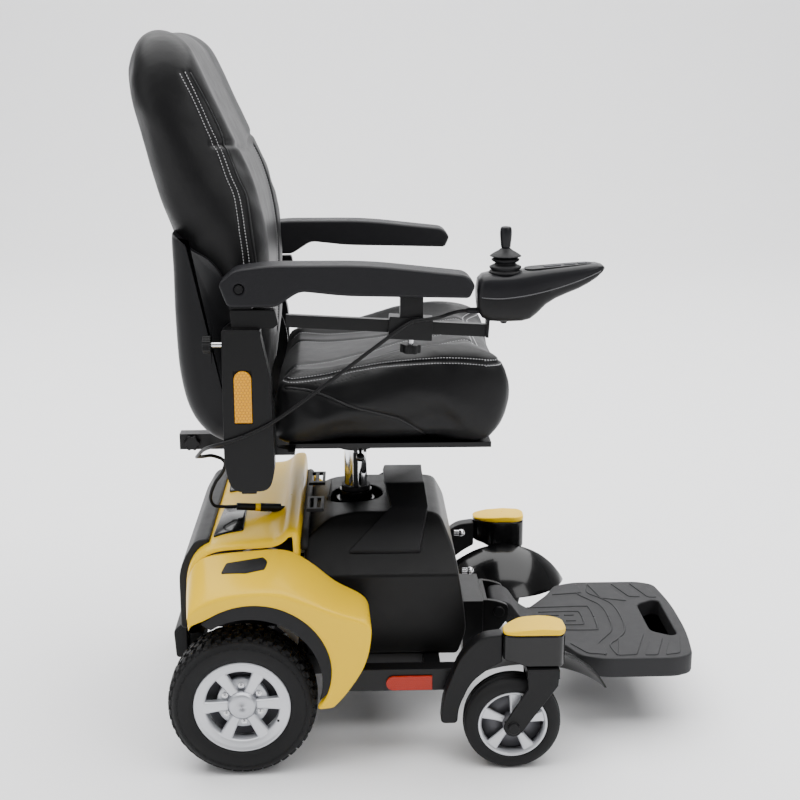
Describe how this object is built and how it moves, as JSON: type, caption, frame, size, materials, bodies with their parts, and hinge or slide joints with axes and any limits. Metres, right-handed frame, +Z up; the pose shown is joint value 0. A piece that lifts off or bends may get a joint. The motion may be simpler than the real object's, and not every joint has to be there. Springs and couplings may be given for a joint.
{
  "type": "power wheelchair",
  "caption": "Compact mid-wheel-base power wheelchair with a folding padded seat, flip-up armrests, joystick controller, folding footplate and swivelling front casters.",
  "frame": {"origin": "bottom centre of the box round the chair, on the floor", "axes": "+X is forward, +Y is the chair's left, +Z is up"},
  "size_m": [0.886, 0.584, 1.1145],
  "materials": {
    "frame_black": "satin black powder coat",
    "arm_paint": "semi-gloss black",
    "yellow_gloss": "glossy yellow",
    "black_gloss": "glossy black",
    "cover_black": "fine-grained black",
    "panel_grey": "grained dark grey",
    "battery_case": "smooth dark grey",
    "reflector_red": "red-orange prism reflector",
    "reflector_amber": "amber honeycomb reflector",
    "trim_black": "matte black",
    "motor_grey": "dark cast housing",
    "bumper_black": "matte black rubber",
    "module_alloy": "anodised grey",
    "bolt_steel": "bright plated",
    "lever_grey": "light grey",
    "drive_rubber": "knobby black rubber",
    "rim_silver": "silver grey",
    "caster_rubber": "ribbed black rubber",
    "caster_silver": "silver",
    "foot_plastic": "ribbed dark grey",
    "post_chrome": "bright chrome",
    "seat_leather": "smooth black upholstery",
    "shell_black": "satin black",
    "arm_pad": "soft dark grey foam skin",
    "pod_black": "satin black",
    "boot_rubber": "matte black rubber",
    "stick_black": "satin black",
    "gimbal_alloy": "machined",
    "key_grey": "matte dark grey",
    "knob_black": "satin black with plated screw",
    "cable_black": "satin black jacket"
  },
  "bodies": {
    "base": {"chassis_frame": "frame_black", "caster_arms": "arm_paint", "caster_housings": "black_gloss", "caster_guards": "black_gloss", "toe_pads": "yellow_gloss", "battery_cover": "cover_black", "batteries": "battery_case", "column_cover": "panel_grey", "post_socket": "frame_black", "rear_shroud": "yellow_gloss", "rear_panel": "panel_grey", "base_reflectors": "reflector_red", "arch_trims": "trim_black", "shroud_vents": "trim_black", "drive_motors": "motor_grey", "rear_bumper": "bumper_black", "control_module": "module_alloy", "footplate_bracket": "frame_black", "base_bolts": "bolt_steel", "cable_plugs": "cable_black"},
    "drive_wheel_r": {"drive_tyre_r": "drive_rubber", "drive_rim_r": "rim_silver"},
    "drive_wheel_l": {"drive_tyre_l": "drive_rubber", "drive_rim_l": "rim_silver"},
    "caster_fork_r": {"caster_fork_r": "arm_paint"},
    "caster_wheel_r": {"caster_tyre_r": "caster_rubber", "caster_rim_r": "caster_silver"},
    "caster_fork_l": {"caster_fork_l": "arm_paint"},
    "caster_wheel_l": {"caster_tyre_l": "caster_rubber", "caster_rim_l": "caster_silver"},
    "freewheel_r": {"freewheel_lever_r": "lever_grey"},
    "freewheel_l": {"freewheel_lever_l": "lever_grey"},
    "footplate": {"footplate": "foot_plastic"},
    "seat_post": {"seat_post": "post_chrome", "cable_base": "cable_black"},
    "seat": {"seat_frame": "frame_black", "seat_cushion": "seat_leather", "cable_seat": "cable_black"},
    "swivel_lever": {"swivel_lever": "stick_black"},
    "back": {"back_cushion": "seat_leather", "back_shell": "shell_black"},
    "arm_bracket_r": {"arm_bracket_r": "cover_black", "arm_reflector_r": "reflector_amber", "cable_bracket": "cable_black"},
    "armrest_r": {"armrest_r": "arm_pad", "rail_clamp": "frame_black", "cable_arm": "cable_black"},
    "arm_bracket_l": {"arm_bracket_l": "cover_black", "arm_reflector_l": "reflector_amber"},
    "armrest_l": {"armrest_l": "arm_pad"},
    "clamp_knob": {"clamp_knob": "knob_black"},
    "controller": {"controller_rail": "frame_black", "controller_case": "pod_black", "joystick_boot": "boot_rubber", "cable_pod": "cable_black"},
    "joystick_gimbal": {"gimbal": "gimbal_alloy"},
    "joystick": {"joystick": "stick_black"},
    "key_speed": {"key_speed": "key_grey"},
    "key_power": {"key_power": "key_grey"},
    "key_horn": {"key_horn": "key_grey"}
  },
  "joints": [
    {"name": "drive_spin_r", "type": "hinge", "parent": "base", "child": "drive_wheel_r", "pos_m": [-0.293, -0.247, 0.1145], "axis": [0, 1, 0], "continuous": true},
    {"name": "drive_spin_l", "type": "hinge", "parent": "base", "child": "drive_wheel_l", "pos_m": [-0.293, 0.247, 0.1145], "axis": [0, 1, 0], "continuous": true},
    {"name": "caster_swivel_r", "type": "hinge", "parent": "base", "child": "caster_fork_r", "pos_m": [0.163, -0.256, 0.172], "axis": [0, 0, 1], "continuous": true},
    {"name": "caster_spin_r", "type": "hinge", "parent": "caster_fork_r", "child": "caster_wheel_r", "pos_m": [0.122, -0.256, 0.076], "axis": [0, 1, 0], "continuous": true},
    {"name": "caster_swivel_l", "type": "hinge", "parent": "base", "child": "caster_fork_l", "pos_m": [0.163, 0.256, 0.172], "axis": [0, 0, 1], "continuous": true},
    {"name": "caster_spin_l", "type": "hinge", "parent": "caster_fork_l", "child": "caster_wheel_l", "pos_m": [0.122, 0.256, 0.076], "axis": [0, 1, 0], "continuous": true},
    {"name": "freewheel_r", "type": "hinge", "parent": "base", "child": "freewheel_r", "pos_m": [-0.217, -0.203, 0.19], "axis": [0, 1, 0], "range_deg": [0, 35]},
    {"name": "freewheel_l", "type": "hinge", "parent": "base", "child": "freewheel_l", "pos_m": [-0.217, 0.203, 0.19], "axis": [0, 1, 0], "range_deg": [0, 35]},
    {"name": "footplate_fold", "type": "hinge", "parent": "base", "child": "footplate", "pos_m": [0.123, 0, 0.165], "axis": [0, -1, 0], "range_deg": [0, 75]},
    {"name": "seat_height", "type": "slide", "parent": "base", "child": "seat_post", "axis": [0, 0, 1], "range_m": [0, 0.05], "deforming": ["cable_base"]},
    {"name": "seat_swivel", "type": "hinge", "parent": "seat_post", "child": "seat", "pos_m": [-0.117, 0, 0.446], "axis": [0, 0, 1], "range_deg": [-90, 90], "deforming": ["cable_seat"]},
    {"name": "swivel_release", "type": "hinge", "parent": "seat", "child": "swivel_lever", "pos_m": [-0.109, -0.038, 0.454], "axis": [-1, 0, 0], "range_deg": [0, 10], "stiffness_Nm_per_rad": 1, "springref_deg": -2.86},
    {"name": "back_fold", "type": "hinge", "parent": "seat", "child": "back", "pos_m": [-0.295, 0, 0.69], "axis": [0, 1, 0], "range_deg": [0, 80]},
    {"name": "arm_width_r", "type": "slide", "parent": "seat", "child": "arm_bracket_r", "axis": [0, -1, 0], "range_m": [0, 0.05], "deforming": ["cable_bracket"]},
    {"name": "armrest_flip_r", "type": "hinge", "parent": "arm_bracket_r", "child": "armrest_r", "pos_m": [-0.278, -0.263, 0.759], "axis": [0, -1, 0], "range_deg": [0, 90], "deforming": ["cable_arm"]},
    {"name": "arm_width_l", "type": "slide", "parent": "seat", "child": "arm_bracket_l", "axis": [0, 1, 0], "range_m": [0, 0.05]},
    {"name": "armrest_flip_l", "type": "hinge", "parent": "arm_bracket_l", "child": "armrest_l", "pos_m": [-0.278, 0.263, 0.759], "axis": [0, -1, 0], "range_deg": [0, 90]},
    {"name": "clamp_screw", "type": "hinge", "parent": "armrest_r", "child": "clamp_knob", "pos_m": [-0.035, -0.263, 0.69989], "axis": [0.0558, 0, 0.9984], "range_deg": [-180, 180]},
    {"name": "controller_reach", "type": "slide", "parent": "armrest_r", "child": "controller", "axis": [0.9984, 0, -0.0558], "range_m": [0, 0.08], "deforming": ["cable_pod"]},
    {"name": "joystick_fore_aft", "type": "hinge", "parent": "controller", "child": "joystick_gimbal", "pos_m": [0.098, -0.26, 0.764], "axis": [0, 1, 0], "range_deg": [-18, 18], "stiffness_Nm_per_rad": 0.4},
    {"name": "joystick_side", "type": "hinge", "parent": "joystick_gimbal", "child": "joystick", "pos_m": [0.098, -0.26, 0.764], "axis": [1, 0, 0], "range_deg": [-18, 18], "stiffness_Nm_per_rad": 0.4, "deforming": ["joystick_boot"]},
    {"name": "press_speed", "type": "slide", "parent": "controller", "child": "key_speed", "axis": [0.0819, 0, -0.9966], "range_m": [0, 0.001], "stiffness_N_per_m": 300, "springref_m": -0.001},
    {"name": "press_power", "type": "slide", "parent": "controller", "child": "key_power", "axis": [0.0819, 0, -0.9966], "range_m": [0, 0.001], "stiffness_N_per_m": 300, "springref_m": -0.001},
    {"name": "press_horn", "type": "slide", "parent": "controller", "child": "key_horn", "axis": [0.0819, 0, -0.9966], "range_m": [0, 0.001], "stiffness_N_per_m": 300, "springref_m": -0.001}
  ]
}
